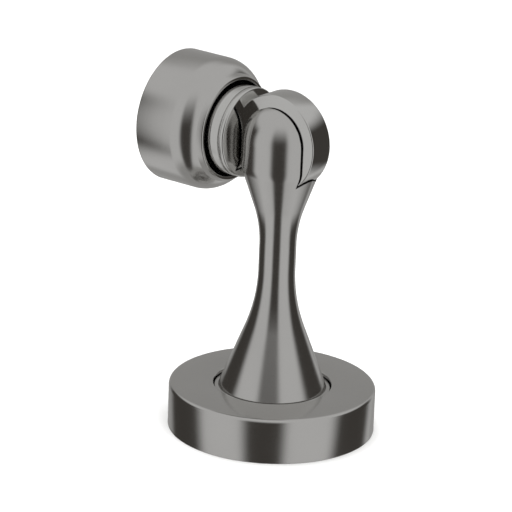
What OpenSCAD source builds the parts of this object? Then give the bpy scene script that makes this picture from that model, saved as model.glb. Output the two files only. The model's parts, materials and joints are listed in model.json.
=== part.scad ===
// Floor door holder: a turned stem on a floor rose carries a tilting magnet head,
// and a cup on the door holds the sprung strike plate that the magnet grips.
// Origin: centre of the underside on the stem's axis. +Z is up, the door stands at -X.

/* [Base] */
// Diameter of the base ring
base_d = 50; // [48:1:64]
// Height of the base ring
base_h = 11; // [10.5:0.5:15]
// Rounding of the base ring's top edge
base_edge_r = 1; // [0.4:0.1:1.6]
// Diameter of the circle that the floor screws sit on
floor_pcd = 35; // [33:0.5:35]
// Diameter of each floor screw hole
floor_screw_d = 4.5; // [3.5:0.1:4.8]

/* [Stem] */
// Height of the tilt axis above the floor
pivot_h = 72; // [60:1:95]
// Diameter of the stem's foot
foot_d = 26; // [24:0.5:27]
// Diameter of the narrow waist
waist_d = 8.9; // [7:0.1:11]
// Diameter of the forked top
fork_d = 18.8; // [17.5:0.1:23]

/* [Head] */
// Diameter of the round knuckle between the fork's cheeks
knuckle_d = 23.5; // [21.5:0.1:28]
// Thickness of the knuckle
knuckle_w = 6.7; // [5.5:0.1:8]
// Diameter of the drum that holds the magnet
drum_d = 21.8; // [20:0.1:27]
// Length of the drum
drum_l = 10.1; // [9.4:0.1:12]
// Diameter of the cross pin
pin_d = 5; // [4:0.1:6]

/* [Door cup] */
// Length of the cup from its lip to the door
cup_l = 17.6; // [16.2:0.1:18.2]
// Distance between the two door screws
door_screw_spacing = 19; // [18.4:0.1:19.2]
// Diameter of each door screw hole
door_screw_d = 4; // [3:0.1:4.2]

/* [Strike] */
// Thickness of the strike plate
strike_t = 2.4; // [1.8:0.1:3]
// Free room behind the strike plate for its spring
spring_room = 3.2; // [2.9:0.1:4]

/* [Fits] */
// Radial clearance of a pin or shank that turns or slides in its hole
running_gap = 0.08; // [0.03:0.01:0.1]
// Axial clearance between faces that turn on each other
face_gap = 0.1; // [0.08:0.01:0.2]
// Clearance between bodies that pass without touching
moving_gap = 0.3; // [0.25:0.05:0.4]

/* [Hidden] */

$fn = 96;
arc_steps = 9;          // points on each rounded stretch of a turned outline
cut_extra = 0.5;        // how far a cutter runs past the face that it cuts

// Base
base_r = base_d / 2;
base_wall = 2.6;
ring_top_t = 3.4;
ring_bore_r = base_r - base_wall;
foot_r = foot_d / 2;
foot_gap = 1.3;
ring_hole_r = foot_r + foot_gap;
plate_r = ring_bore_r - moving_gap;
plate_t = 4;
floor_screws = 3;
floor_sink_r = 4;
floor_sink_h = floor_sink_r - floor_screw_d / 2;
grub_r = 1.5;
ring_grub_z = plate_t / 2 + 0.2;
grub_recess = 0.2;

// Stem bolt and the boss that it turns in
bolt_r = 3;
bolt_head_r = 5;
bolt_head_h = 2.3;
bolt_head_z = 0.3;
bolt_key_r = 2.2;
bolt_key_h = 1.4;
bolt_l = 16;
bolt_end_room = 1.5;
lock_washer_t = 0.8;
boss_bore_r = bolt_head_r + 1;
boss_bore_h = bolt_head_z + bolt_head_h + lock_washer_t + face_gap;
boss_r = 8.5;
boss_t = 2.5;
boss_top_z = boss_bore_h + boss_t;
thrust_washer_t = 0.8;
thrust_washer_r = 8.2;
foot_z = boss_top_z + thrust_washer_t + face_gap;
foot_edge_z = base_h - 0.4;
foot_flange_r = ring_hole_r - moving_gap;
foot_flange_z = base_h - 0.8;

// Stem outline
waist_r = waist_d / 2;
fork_r = fork_d / 2;
waist_low_z = 0.556 * pivot_h;
waist_high_z = 0.646 * pivot_h;
flare_r = 0.553 * pivot_h;      // radius of the hollow curve down to the foot
flare_angle = 21.5;
neck_curve_r = 0.39 * pivot_h;  // radius of the hollow curve up to the fork
neck_angle = 19;
shoulder_r = 6;                 // radius of the round shoulder below the cheeks
shoulder_drop = 5.6;            // how far below the tilt axis the shoulder starts

// Fork, knuckle and pin
pin_r = pin_d / 2;
knuckle_r = knuckle_d / 2;
washer_recess = 0.6;
washer_stand = 0.2;             // how far a friction washer stands out of its recess
slot_w = knuckle_w + 2 * (washer_stand + moving_gap);
seat_r = knuckle_r + moving_gap;
cheek_t = fork_r - slot_w / 2;
pin_blind = 0.6 * cheek_t;      // depth of the pin in the cheek that it doesn't pierce
pin_recess = 0.15;
pin_end_y = sqrt(fork_r * fork_r - pin_r * pin_r) - pin_recess;
pin_start_y = -slot_w / 2 - pin_blind;
pin_chamfer = 0.3;
bush_wall = 1;
bush_r = pin_r + running_gap + bush_wall;
bush_l = knuckle_w - 2 * washer_recess;
friction_washer_t = washer_recess + washer_stand;
friction_washer_w = 2.8;
friction_washer_r = bush_r + friction_washer_w;

// Distances from the tilt axis towards the door
drum_tuck = 0.2;                // how far the drum's back passes inside the fork's circle
drum_back = fork_r - drum_tuck;
drum_front = drum_back + drum_l;
strike_front = drum_front + moving_gap;
strike_back = strike_front + strike_t;
web_front = strike_back + spring_room;
web_t = 1.8;
web_back = web_front + web_t;
door_plate_t = 3;
clip_room = 1.6;
door_face = web_back + clip_room + door_plate_t;
lip_at = door_face - cup_l;

// Drum and magnet
drum_r = drum_d / 2;
drum_edge_r = 0.5;
bead_l = 1.1;                   // length of the bead behind the drum's groove
groove_w = 0.5;
groove_depth = 0.35;
neck_h = 0.5 * knuckle_d;
slot_drop = neck_h / 2 + moving_gap;
drum_drop = drum_r + moving_gap;
drum_wall = 1.5;
pot_r = drum_r - drum_wall;
pot_l = 6.4;
pot_wall = 1.4;
pot_base = 1.6;
magnet_t = pot_l - pot_base;
spacer_wall = 0.7;
magnet_r = pot_r - pot_wall - spacer_wall;
magnet_screw_r = 1.75;
magnet_screw_head_r = 3.3;
magnet_screw_sink = magnet_screw_head_r - magnet_screw_r;
magnet_bore_gap = 0.3;
magnet_bore_r = magnet_screw_r + magnet_bore_gap;
magnet_screw_grip = 4.4;
magnet_screw_l = pot_l + magnet_screw_grip;
drive_slot_w = 0.9;
drive_slot_h = 0.8;

// Cup
cup_gap = 0.8;
cup_bore_r = drum_r + cup_gap;
cup_wall = 4.4;
cup_r = cup_bore_r + cup_wall;
cup_edge = 0.4;
dome_r = 7;
dome_angle = 55;
dome_at = 7.2;                  // distance from the lip to the dome's centre
rim_w = 0.9;                    // thickness of the rim at the lip
rim_edge = 0.25;
recess_wall = 2.1;
recess_r = cup_r - recess_wall;
door_plate_gap = 0.2;
door_plate_r = recess_r - door_plate_gap;
door_sink_r = 3.7;
door_sink_h = door_sink_r - door_screw_d / 2;
cup_grub_r = 1.25;
cup_grub_inset = 1.9;
cup_grub_at = door_face - cup_grub_inset;

// Strike
strike_side_gap = 0.8;
strike_r = cup_bore_r - strike_side_gap;
stud_r = 2.2;
stud_head_r = 3.6;
stud_head_h = stud_head_r - stud_r;
stud_end_room = 0.6;
stud_bore_r = stud_r + running_gap;
clip_t = 0.5;
clip_groove_r = 1.7;
clip_r = 4;
clip_front = web_back + moving_gap;
clip_mouth_w = 2.6;
stud_end = clip_front + clip_t + stud_end_room;
clip_side_room = 0.6;
plate_hole_r = clip_r + clip_side_room;
buffer_t = 1;
buffer_in_r = 8.3;
buffer_out_r = strike_r;
spring_wire_r = 0.35;
spring_stud_room = 1.1;
spring_buffer_room = 1.2;
spring_small_r = stud_r + spring_stud_room;
spring_large_r = buffer_in_r - spring_buffer_room;
spring_turns = 2.75;
spring_steps = 66;
spring_sides = 10;

nickel = [0.66, 0.65, 0.63];
polished = [0.78, 0.78, 0.77];
steel = [0.55, 0.56, 0.58];
zinc = [0.70, 0.72, 0.74];
dark_steel = [0.20, 0.20, 0.22];
brass = [0.78, 0.62, 0.32];
nylon = [0.90, 0.90, 0.86];
rubber = [0.08, 0.08, 0.08];

// Points on an arc of radius r about [cx, cy], from angle a0 to angle a1.
function arc(cx, cy, r, a0, a1) = [
    for (i = [0 : arc_steps])
        let (a = a0 + (a1 - a0) * i / arc_steps)
            [cx + r * cos(a), cy + r * sin(a)]
];

// Puts a shape drawn along +Z on the head's axis, starting this far from the tilt axis.
module toward_door(distance) {
    translate([-distance, 0, pivot_h]) rotate([0, -90, 0]) children();
}

// Puts a shape drawn along +Z and centred on it on the tilt axis.
module on_tilt_axis() {
    translate([0, 0, pivot_h]) rotate([90, 0, 0]) children();
}

module ring(outer_r, inner_r, h) {
    difference() {
        cylinder(r = outer_r, h = h);
        translate([0, 0, -cut_extra]) cylinder(r = inner_r, h = h + 2 * cut_extra);
    }
}

// Headless set screw with a cone point and a hexagon socket, from its point at z = 0.
module grub_screw(r, l) {
    tip = 0.5 * r;
    socket_r = 0.55 * r;
    difference() {
        union() {
            cylinder(r1 = r - tip, r2 = r, h = tip);
            translate([0, 0, tip]) cylinder(r = r, h = l - tip);
        }
        translate([0, 0, 0.5 * l]) cylinder(r = socket_r, h = l, $fn = 6);
    }
}

// Base: everything that stays on the floor

module base_ring() {
    top_z = base_h - ring_top_t;
    color(nickel) difference() {
        rotate_extrude() polygon(concat(
            [[ring_hole_r, top_z], [ring_bore_r, top_z], [ring_bore_r, 0], [base_r, 0]],
            arc(base_r - base_edge_r, base_h - base_edge_r, base_edge_r, 0, 90),
            [[ring_hole_r, base_h]]
        ));
        translate([0, ring_bore_r - cut_extra, ring_grub_z])
            rotate([-90, 0, 0]) cylinder(r = grub_r, h = base_wall + 2 * cut_extra);
    }
}

module ring_grub_screw() {
    length = base_r - grub_recess - plate_r;
    color(dark_steel) translate([0, plate_r, ring_grub_z])
        rotate([-90, 0, 0]) grub_screw(grub_r, length);
}

module floor_plate() {
    color(zinc) difference() {
        union() {
            cylinder(r = plate_r, h = plate_t);
            cylinder(r = boss_r, h = boss_top_z);
        }
        translate([0, 0, -cut_extra]) cylinder(r = boss_bore_r, h = boss_bore_h + cut_extra);
        cylinder(r = bolt_r + running_gap, h = boss_top_z + cut_extra);
        for (i = [0 : floor_screws - 1])
            rotate(360 * i / floor_screws) translate([floor_pcd / 2, 0, 0]) {
                translate([0, 0, -cut_extra]) cylinder(r = floor_screw_d / 2, h = plate_t + 2 * cut_extra);
                translate([0, 0, plate_t - floor_sink_h])
                    cylinder(r1 = floor_screw_d / 2, r2 = floor_sink_r, h = floor_sink_h);
            }
    }
}

module thrust_washer() {
    color(nylon) translate([0, 0, boss_top_z])
        ring(thrust_washer_r, bolt_r + running_gap, thrust_washer_t);
}

// Stem: turns on the floor plate

module stem() {
    outline = concat(
        [[0, foot_z], [foot_flange_r, foot_z], [foot_flange_r, foot_flange_z]],
        [[foot_r, foot_flange_z], [foot_r, foot_edge_z]],
        arc(waist_r + flare_r, waist_low_z, flare_r, 180 + flare_angle, 180),
        arc(waist_r + neck_curve_r, waist_high_z, neck_curve_r, 180, 180 - neck_angle),
        arc(fork_r - shoulder_r, pivot_h - shoulder_drop, shoulder_r, -neck_angle, 0),
        arc(0, pivot_h, fork_r, 0, 90)
    );
    color(nickel) difference() {
        rotate_extrude() polygon(outline);
        translate([0, 0, foot_z - cut_extra])
            cylinder(r = bolt_r, h = bolt_l - foot_z + bolt_end_room + cut_extra);
        on_tilt_axis() cylinder(r = seat_r, h = slot_w, center = true);
        translate([-fork_r, -slot_w / 2, pivot_h - slot_drop])
            cube([2 * fork_r, slot_w, slot_drop + fork_r + cut_extra]);
        // The drum's back clears the shoulder on either side, however wide the fork is.
        for (side = [0, 180])
            rotate(side) translate([drum_back - moving_gap, -slot_w / 2, pivot_h - drum_drop])
                cube([fork_r, slot_w, drum_drop + fork_r]);
        translate([0, pin_start_y, pivot_h])
            rotate([-90, 0, 0]) cylinder(r = pin_r, h = fork_r - pin_start_y);
    }
}

module stem_bolt() {
    color(dark_steel) translate([0, 0, bolt_head_z]) difference() {
        union() {
            cylinder(r = bolt_head_r, h = bolt_head_h);
            cylinder(r = bolt_r, h = bolt_l - bolt_head_z);
        }
        translate([0, 0, -cut_extra]) cylinder(r = bolt_key_r, h = bolt_key_h + cut_extra, $fn = 6);
    }
}

module lock_washer() {
    color(steel) translate([0, 0, bolt_head_z + bolt_head_h])
        ring(bolt_head_r, bolt_r, lock_washer_t);
}

module cross_pin() {
    length = pin_end_y - pin_start_y;
    color(steel) translate([0, pin_start_y, pivot_h]) rotate([-90, 0, 0]) {
        cylinder(r1 = pin_r - pin_chamfer, r2 = pin_r, h = pin_chamfer);
        translate([0, 0, pin_chamfer]) cylinder(r = pin_r, h = length - 2 * pin_chamfer);
        translate([0, 0, length - pin_chamfer])
            cylinder(r1 = pin_r, r2 = pin_r - pin_chamfer, h = pin_chamfer);
    }
}

// Head: tilts on the cross pin

module magnet_head() {
    color(polished) difference() {
        union() {
            on_tilt_axis() cylinder(r = knuckle_r, h = knuckle_w, center = true);
            translate([-drum_back - cut_extra, -knuckle_w / 2, pivot_h - neck_h / 2])
                cube([drum_back + cut_extra - knuckle_r / 2, knuckle_w, neck_h]);
            toward_door(drum_back) rotate_extrude() polygon(concat(
                [[0, drum_l], [0, 0]],
                arc(drum_r - drum_edge_r, drum_edge_r, drum_edge_r, -90, 0),
                [[drum_r, drum_l]]
            ));
        }
        toward_door(drum_back + bead_l) ring(drum_r + cut_extra, drum_r - groove_depth, groove_w);
        on_tilt_axis() cylinder(r = bush_r, h = knuckle_w + 2 * cut_extra, center = true);
        for (side = [-1, 1])
            translate([0, side * (knuckle_w / 2 - washer_recess / 2 + cut_extra / 2), 0]) on_tilt_axis()
                cylinder(r = friction_washer_r + face_gap, h = washer_recess + cut_extra, center = true);
        toward_door(drum_front - pot_l) cylinder(r = pot_r, h = pot_l + cut_extra);
        toward_door(drum_front - magnet_screw_l) cylinder(r = magnet_screw_r, h = magnet_screw_l);
    }
}

module tilt_bush() {
    color(brass) translate([0, bush_l / 2, 0]) on_tilt_axis()
        ring(bush_r, pin_r + running_gap, bush_l);
}

module friction_washers() {
    color(steel) for (y = [bush_l / 2 + friction_washer_t, -bush_l / 2])
        translate([0, y, 0]) on_tilt_axis()
            ring(friction_washer_r, pin_r + running_gap, friction_washer_t);
}

module magnet_pot() {
    color(zinc) toward_door(drum_front - pot_l) difference() {
        cylinder(r = pot_r, h = pot_l);
        translate([0, 0, pot_base]) cylinder(r = pot_r - pot_wall, h = pot_l);
        translate([0, 0, -cut_extra]) cylinder(r = magnet_bore_r, h = pot_l);
    }
}

module magnet() {
    color(dark_steel) toward_door(drum_front - magnet_t) difference() {
        cylinder(r = magnet_r, h = magnet_t);
        translate([0, 0, -cut_extra]) cylinder(r = magnet_bore_r, h = magnet_t + 2 * cut_extra);
        translate([0, 0, magnet_t - magnet_screw_sink - face_gap])
            cylinder(r1 = magnet_screw_r, r2 = magnet_screw_head_r, h = magnet_screw_sink);
        translate([0, 0, magnet_t - face_gap]) cylinder(r = magnet_screw_head_r, h = face_gap + cut_extra);
    }
}

module magnet_spacer() {
    color(nylon) toward_door(drum_front - magnet_t)
        ring(magnet_r + spacer_wall, magnet_r, magnet_t);
}

module magnet_screw() {
    shank_l = magnet_screw_l - magnet_screw_sink - face_gap;
    color(steel) toward_door(drum_front - magnet_screw_l) difference() {
        union() {
            cylinder(r = magnet_screw_r, h = shank_l);
            translate([0, 0, shank_l])
                cylinder(r1 = magnet_screw_r, r2 = magnet_screw_head_r, h = magnet_screw_sink);
        }
        for (turn = [0, 90])
            translate([0, 0, shank_l + magnet_screw_sink]) rotate(turn)
                cube([1.3 * magnet_screw_head_r, drive_slot_w, 2 * drive_slot_h], center = true);
    }
}

// Door side: the cup and its plate stay on the door

module door_cup() {
    rim_r = cup_bore_r + rim_w;
    outline = concat(
        [[cup_bore_r, web_front - lip_at], [cup_bore_r, rim_edge], [cup_bore_r + rim_edge, 0]],
        [[rim_r - rim_edge, 0], [rim_r, rim_edge]],
        arc(cup_r - dome_r, dome_at, dome_r, -dome_angle, 0),
        [[cup_r, cup_l - cup_edge], [cup_r - cup_edge, cup_l], [recess_r, cup_l]],
        [[recess_r, web_back - lip_at], [stud_bore_r, web_back - lip_at], [stud_bore_r, web_front - lip_at]]
    );
    color(nickel) difference() {
        toward_door(lip_at) rotate_extrude() polygon(outline);
        translate([-cup_grub_at, 0, pivot_h - cup_r - cut_extra])
            cylinder(r = cup_grub_r, h = recess_wall + 2 * cut_extra);
    }
}

module cup_grub_screw() {
    length = cup_r - grub_recess - door_plate_r;
    color(dark_steel) translate([-cup_grub_at, 0, pivot_h - door_plate_r])
        rotate([180, 0, 0]) grub_screw(cup_grub_r, length);
}

module door_plate() {
    color(zinc) toward_door(door_face - door_plate_t) difference() {
        ring(door_plate_r, plate_hole_r, door_plate_t);
        for (side = [-1, 1])
            translate([0, side * door_screw_spacing / 2, 0]) {
                translate([0, 0, -cut_extra])
                    cylinder(r = door_screw_d / 2, h = door_plate_t + 2 * cut_extra);
                cylinder(r1 = door_sink_r, r2 = door_screw_d / 2, h = door_sink_h);
            }
    }
}

module strike_buffer() {
    color(rubber) toward_door(web_front - buffer_t)
        ring(buffer_out_r, buffer_in_r, buffer_t);
}

// Strike: slides into the cup against its spring

module strike_plate() {
    color(steel) toward_door(strike_front) difference() {
        ring(strike_r, stud_r, strike_t);
        cylinder(r1 = stud_head_r, r2 = stud_r, h = stud_head_h);
    }
}

module strike_stud() {
    shank_l = stud_end - strike_front;
    groove_at = clip_front - strike_front;
    color(steel) toward_door(strike_front) difference() {
        union() {
            cylinder(r1 = stud_head_r, r2 = stud_r, h = stud_head_h);
            cylinder(r = stud_r, h = shank_l);
        }
        translate([0, 0, groove_at]) ring(stud_r + cut_extra, clip_groove_r, clip_t);
    }
}

module stud_clip() {
    color(dark_steel) toward_door(clip_front) difference() {
        ring(clip_r, clip_groove_r, clip_t);
        translate([0, -clip_mouth_w / 2, -cut_extra])
            cube([clip_r + cut_extra, clip_mouth_w, clip_t + 2 * cut_extra]);
    }
}

// One point on the skin of the coned coil: step counts along the wire, side counts round it.
function coil_point(step, side) =
    let (
        t = step / spring_steps,
        turn = 360 * spring_turns * t,
        round = 360 * side / spring_sides,
        coil_r = spring_small_r + (spring_large_r - spring_small_r) * t + spring_wire_r * cos(round),
        height = spring_wire_r + (spring_room - 2 * spring_wire_r) * t + spring_wire_r * sin(round)
    )
    [coil_r * cos(turn), coil_r * sin(turn), height];

function coil_index(step, side) = step * spring_sides + side % spring_sides;

module strike_spring() {
    points = [for (step = [0 : spring_steps]) for (side = [0 : spring_sides - 1]) coil_point(step, side)];
    skin = [
        for (step = [0 : spring_steps - 1])
            for (side = [0 : spring_sides - 1])
                [
                    coil_index(step, side),
                    coil_index(step, side + 1),
                    coil_index(step + 1, side + 1),
                    coil_index(step + 1, side),
                ]
    ];
    first_end = [for (side = [spring_sides - 1 : -1 : 0]) coil_index(0, side)];
    last_end = [for (side = [0 : spring_sides - 1]) coil_index(spring_steps, side)];
    color(steel) toward_door(strike_back)
        polyhedron(points, concat(skin, [first_end, last_end]), convexity = 6);
}

base_ring();
ring_grub_screw();
floor_plate();
thrust_washer();
stem();
stem_bolt();
lock_washer();
cross_pin();
magnet_head();
tilt_bush();
friction_washers();
magnet_pot();
magnet();
magnet_spacer();
magnet_screw();
door_cup();
cup_grub_screw();
door_plate();
strike_buffer();
strike_plate();
strike_stud();
stud_clip();
strike_spring();
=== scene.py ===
"""Floor door holder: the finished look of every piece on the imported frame, its stage and its camera."""
import json
import math

import bmesh
import bpy
from bpy.props import FloatProperty, FloatVectorProperty, IntProperty, PointerProperty
from bpy.types import Operator, Panel, PropertyGroup
from mathutils import Matrix, Vector


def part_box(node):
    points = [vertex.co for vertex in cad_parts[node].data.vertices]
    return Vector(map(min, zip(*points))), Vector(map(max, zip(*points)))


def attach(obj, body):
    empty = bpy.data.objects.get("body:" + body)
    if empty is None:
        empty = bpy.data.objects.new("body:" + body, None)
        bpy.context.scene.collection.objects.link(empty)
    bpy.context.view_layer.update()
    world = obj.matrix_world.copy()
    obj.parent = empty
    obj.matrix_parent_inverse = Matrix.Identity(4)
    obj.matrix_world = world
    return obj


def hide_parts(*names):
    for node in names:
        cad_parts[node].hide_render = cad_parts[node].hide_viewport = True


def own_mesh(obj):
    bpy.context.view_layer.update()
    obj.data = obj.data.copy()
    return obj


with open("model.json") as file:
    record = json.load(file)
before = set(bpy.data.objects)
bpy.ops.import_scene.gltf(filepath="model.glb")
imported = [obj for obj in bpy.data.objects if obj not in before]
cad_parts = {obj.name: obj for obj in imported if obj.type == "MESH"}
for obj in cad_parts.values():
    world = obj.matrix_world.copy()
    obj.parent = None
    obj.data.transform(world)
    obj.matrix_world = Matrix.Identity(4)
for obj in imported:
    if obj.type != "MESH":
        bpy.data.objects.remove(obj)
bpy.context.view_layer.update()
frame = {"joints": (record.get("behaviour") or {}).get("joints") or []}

bl_info = {
    "name": "Floor Door Holder",
    "version": (1, 0, 0),
    "blender": (4, 5, 0),
    "location": "3D View > Sidebar > Door Holder",
    "description": "Builds the turned, carved and finished pieces of a magnetic floor door holder",
    "category": "Object",
}

MM = 0.001

# The frame gives the main places: the floor is z = 0, the stem stands on the Z axis,
# and the head's axis runs from the pivot towards the door at -X.
PIVOT_Z = next(joint["pos_m"][2] for joint in frame["joints"] if joint["name"] == "head_tilt")

# Sizes inside the nodes' boxes, which the frame doesn't carry
FLOOR_SCREWS = 3
BOSS_TOP = 2.5 * MM
BOLT_SHANK = 3.0 * MM
BOLT_END_ROOM = 1.5 * MM
BOLT_SOCKET, BOLT_SOCKET_DEPTH = 2.2 * MM, 1.4 * MM
FOOT_EDGE_SINK = 0.4 * MM
LOCK_WASHER_SPLIT, SPLIT_LIFT = 0.5 * MM, 0.5 * MM
PIN_CHAMFER = 0.3 * MM
PIN_CLEARANCE = 0.08 * MM
WASHER_RECESS, WASHER_CLEARANCE = 0.6 * MM, 0.1 * MM
NECK_OVERLAP = 0.5 * MM
POT_LENGTH = 6.4 * MM
MAGNET_BORE = 2.05 * MM
MAGNET_SCREW, MAGNET_SCREW_HEAD, MAGNET_SCREW_GRIP = 1.75 * MM, 3.3 * MM, 4.4 * MM
SCREW_HEAD_SINK = 0.1 * MM
DRIVE_DEPTH, DRIVE_WIDTH, DRIVE_LENGTH = 1.6 * MM, 0.9 * MM, 4.3 * MM
CUP_WEB, CUP_RECESS_WALL, CUP_STUD_HOLE = 1.8 * MM, 2.1 * MM, 2.28 * MM
DOME_FROM_LIP, DOME_ANGLE = 7.2 * MM, 55
DOOR_PLATE_HOLE = 4.6 * MM
BUFFER_HOLE = 8.3 * MM
CLIP_MOUTH, CLIP_MOUTH_LIFT = 2.6 * MM, 0.2 * MM


def low(node):
    """Lowest corner of a node's box."""
    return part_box(node)[0]


def high(node):
    """Highest corner of a node's box."""
    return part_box(node)[1]


def radius_on_head(node):
    """Radius of a round node that is centred on the head's axis."""
    return high(node).z - PIVOT_Z


# ---------------------------------------------------------------- settings

def length(name, description, millimetres):
    return FloatProperty(
        name=name, description=description, default=millimetres * MM, min=0.0,
        precision=5, unit="LENGTH", subtype="DISTANCE",
    )


def finish_colour(name, description, colour):
    return FloatVectorProperty(
        name=name, description=description, default=colour, min=0.0, max=1.0, size=3, subtype="COLOR",
    )


def share(name, description, value):
    return FloatProperty(
        name=name, description=description, default=value, min=0.0, max=1.0, subtype="FACTOR",
    )


class DoorHolderSizes(PropertyGroup):
    turn_steps: IntProperty(
        name="Turning Steps", description="Faces round a large turned piece", default=176, min=32, max=256,
    )
    fine_edge: length("Fine Edge", "Rounding of a machined edge", 0.18)
    broken_edge: length("Broken Edge", "Rounding of a small or hidden edge", 0.08)
    rose_edge: length("Rose Edge", "Rounding of the base ring's top edge", 1.0)
    rose_wall: length("Rose Wall", "Thickness of the base ring's wall", 2.6)
    rose_top: length("Rose Top", "Thickness of the base ring's top", 3.4)
    foot: length("Foot", "Diameter of the stem's foot above its flange", 26.0)
    flange_sink: length("Flange Sink", "How far the foot's flange lies below the base ring's top", 0.8)
    waist: length("Waist", "Diameter of the stem's waist", 8.9)
    shoulder: length("Shoulder", "Rounding of the shoulder below the fork's cheeks", 6.0)
    shoulder_drop: length("Shoulder Drop", "Distance from the pivot down to the shoulder", 5.6)
    fork: length("Fork", "Diameter of the stem's forked top", 18.8)
    slot_width: length("Slot Width", "Width of the fork's slot", 7.7)
    pin: length("Cross Pin", "Diameter of the cross pin", 5.0)
    moving_gap: length("Moving Gap", "Clearance between pieces that pass each other", 0.3)
    knuckle_width: length("Knuckle Width", "Thickness of the round knuckle", 6.7)
    knuckle_edge: length("Knuckle Edge", "Rounding of the knuckle's rim", 0.35)
    drum_tuck: length("Drum Tuck", "How far the drum's back passes inside the fork's circle", 0.2)
    drum_edge: length("Drum Edge", "Rounding of the drum's back edge", 0.5)
    bead: length("Bead", "Length of the bead behind the drum's groove", 1.1)
    groove: length("Groove", "Width of the drum's groove", 0.5)
    groove_depth: length("Groove Depth", "Depth of the drum's groove", 0.35)
    cup_dome: length("Cup Dome", "Radius of the cup's domed shoulder", 7.0)
    cup_wall: length("Cup Wall", "Thickness of the cup round its bore", 4.4)
    rim_width: length("Rim Width", "Thickness of the rim at the cup's mouth", 0.9)
    rim_edge: length("Rim Edge", "Rounding of the rim at the cup's mouth", 0.4)
    spring_wire: length("Spring Wire", "Diameter of the strike spring's wire", 0.7)


class DoorHolderFinishes(PropertyGroup):
    satin: finish_colour("Satin Nickel", "Colour of the ring, stem and cup", (0.60, 0.592, 0.578))
    satin_roughness: share("Satin Roughness", "How soft the satin nickel's reflections are", 0.17)
    polish: finish_colour("Polished Nickel", "Colour of the head", (0.66, 0.655, 0.64))
    polish_roughness: share("Polish Roughness", "How soft the polished nickel's reflections are", 0.10)
    zinc: finish_colour("Zinc Plate", "Colour of the plated plates", (0.56, 0.575, 0.60))
    bright: finish_colour("Bright Steel", "Colour of ground steel", (0.50, 0.50, 0.51))
    black: finish_colour("Black Oxide", "Colour of the blackened fasteners", (0.028, 0.027, 0.028))
    brass: finish_colour("Brass", "Colour of the bush", (0.70, 0.50, 0.22))
    nylon: finish_colour("Nylon", "Colour of the nylon washers", (0.74, 0.73, 0.68))
    rubber: finish_colour("Rubber", "Colour of the buffer", (0.018, 0.018, 0.018))


class DoorHolderStudio(PropertyGroup):
    camera_turn: FloatProperty(
        name="Camera Turn", description="Camera's bearing round the object", default=math.radians(37.7),
        subtype="ANGLE",
    )
    camera_rise: FloatProperty(
        name="Camera Rise", description="Camera's height above the horizon", default=math.radians(19.0),
        subtype="ANGLE",
    )
    camera_roll: FloatProperty(
        name="Camera Roll", description="Camera's roll", default=math.radians(2.2), subtype="ANGLE",
    )
    camera_distance: length("Camera Distance", "Distance from the camera to its aim", 751.0)
    aim_height: length("Aim Height", "Height that the camera aims at", 43.05)
    aim_left: length("Aim Left", "How far left of the stem's axis the camera aims", 5.1)
    focal_length: FloatProperty(
        name="Focal Length", description="The camera's focal length in millimetres", default=221.4, min=20.0,
    )
    surround: share("Surround", "Brightness of the white surround", 0.61)
    key_power: FloatProperty(
        name="Key Power", description="Power of the overhead softbox", default=9.0, min=0.0, unit="POWER",
    )


def sizes():
    return bpy.context.scene.door_holder_sizes


def finishes():
    return bpy.context.scene.door_holder_finishes


def studio():
    return bpy.context.scene.door_holder_studio


# ---------------------------------------------------------------- places

UPRIGHT = Matrix.Identity(4)
UP_TO_BACK = Matrix.Rotation(math.radians(-90), 4, "X")


def toward_door(distance):
    """Turns +Z to the head's axis, starting this far from the pivot."""
    return Matrix.Translation((-distance, 0.0, PIVOT_Z)) @ Matrix.Rotation(math.radians(-90), 4, "Y")


def across_fork():
    """Turns +Z to the cross pin's axis, away from the pin's open end."""
    return Matrix.Translation((0.0, 0.0, PIVOT_Z)) @ Matrix.Rotation(math.radians(90), 4, "X")


# ---------------------------------------------------------------- outlines

ARC_STEPS = 20
CORNER_STEPS = 5


def arc(centre, radius, start, end, steps=ARC_STEPS):
    """Outline points (radius, height, 0) on an arc, angles in degrees from the radial direction."""
    angles = [math.radians(start + (end - start) * i / steps) for i in range(steps + 1)]
    return [(centre[0] + radius * math.cos(a), centre[1] + radius * math.sin(a), 0.0) for a in angles]


def soften(outline, closed):
    """Rounds each outline corner (radius, height, rounding) with a true arc."""
    count = len(outline)
    points = []
    for i, (r, z, rounding) in enumerate(outline):
        at_end = not closed and i in (0, count - 1)
        if rounding <= 0.0 or at_end:
            points.append(Vector((r, z)))
            continue
        corner = Vector((r, z))
        before = Vector(outline[i - 1][:2]) - corner
        after = Vector(outline[(i + 1) % count][:2]) - corner
        half = before.angle(after) / 2
        reach = min(rounding / math.tan(half), 0.49 * before.length, 0.49 * after.length)
        radius = reach * math.tan(half)
        centre = corner + (before.normalized() + after.normalized()).normalized() * radius / math.sin(half)
        first = corner + before.normalized() * reach - centre
        last = corner + after.normalized() * reach - centre
        sweep = first.angle_signed(last)
        for step in range(CORNER_STEPS + 1):
            turned = first.copy()
            turned.rotate(Matrix.Rotation(-sweep * step / CORNER_STEPS, 2))
            points.append(centre + turned)
    return points


def turned(outline, steps=None):
    """Spins an outline of (radius, height, rounding) about Z into a closed solid."""
    closed = outline[0][0] > 0.0 or outline[-1][0] > 0.0
    points = soften(outline, closed)
    shape = bmesh.new()
    verts = [shape.verts.new((p.x, 0.0, p.y)) for p in points]
    pairs = list(zip(verts, verts[1:]))
    if closed:
        pairs.append((verts[-1], verts[0]))
    edges = [shape.edges.new(pair) for pair in pairs]
    bmesh.ops.spin(
        shape, geom=verts + edges, cent=(0.0, 0.0, 0.0), axis=(0.0, 0.0, 1.0),
        angle=math.tau, steps=steps or sizes().turn_steps, use_merge=True,
    )
    bmesh.ops.remove_doubles(shape, verts=shape.verts, dist=1e-8)
    bmesh.ops.recalc_face_normals(shape, faces=shape.faces)
    return shape


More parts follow.
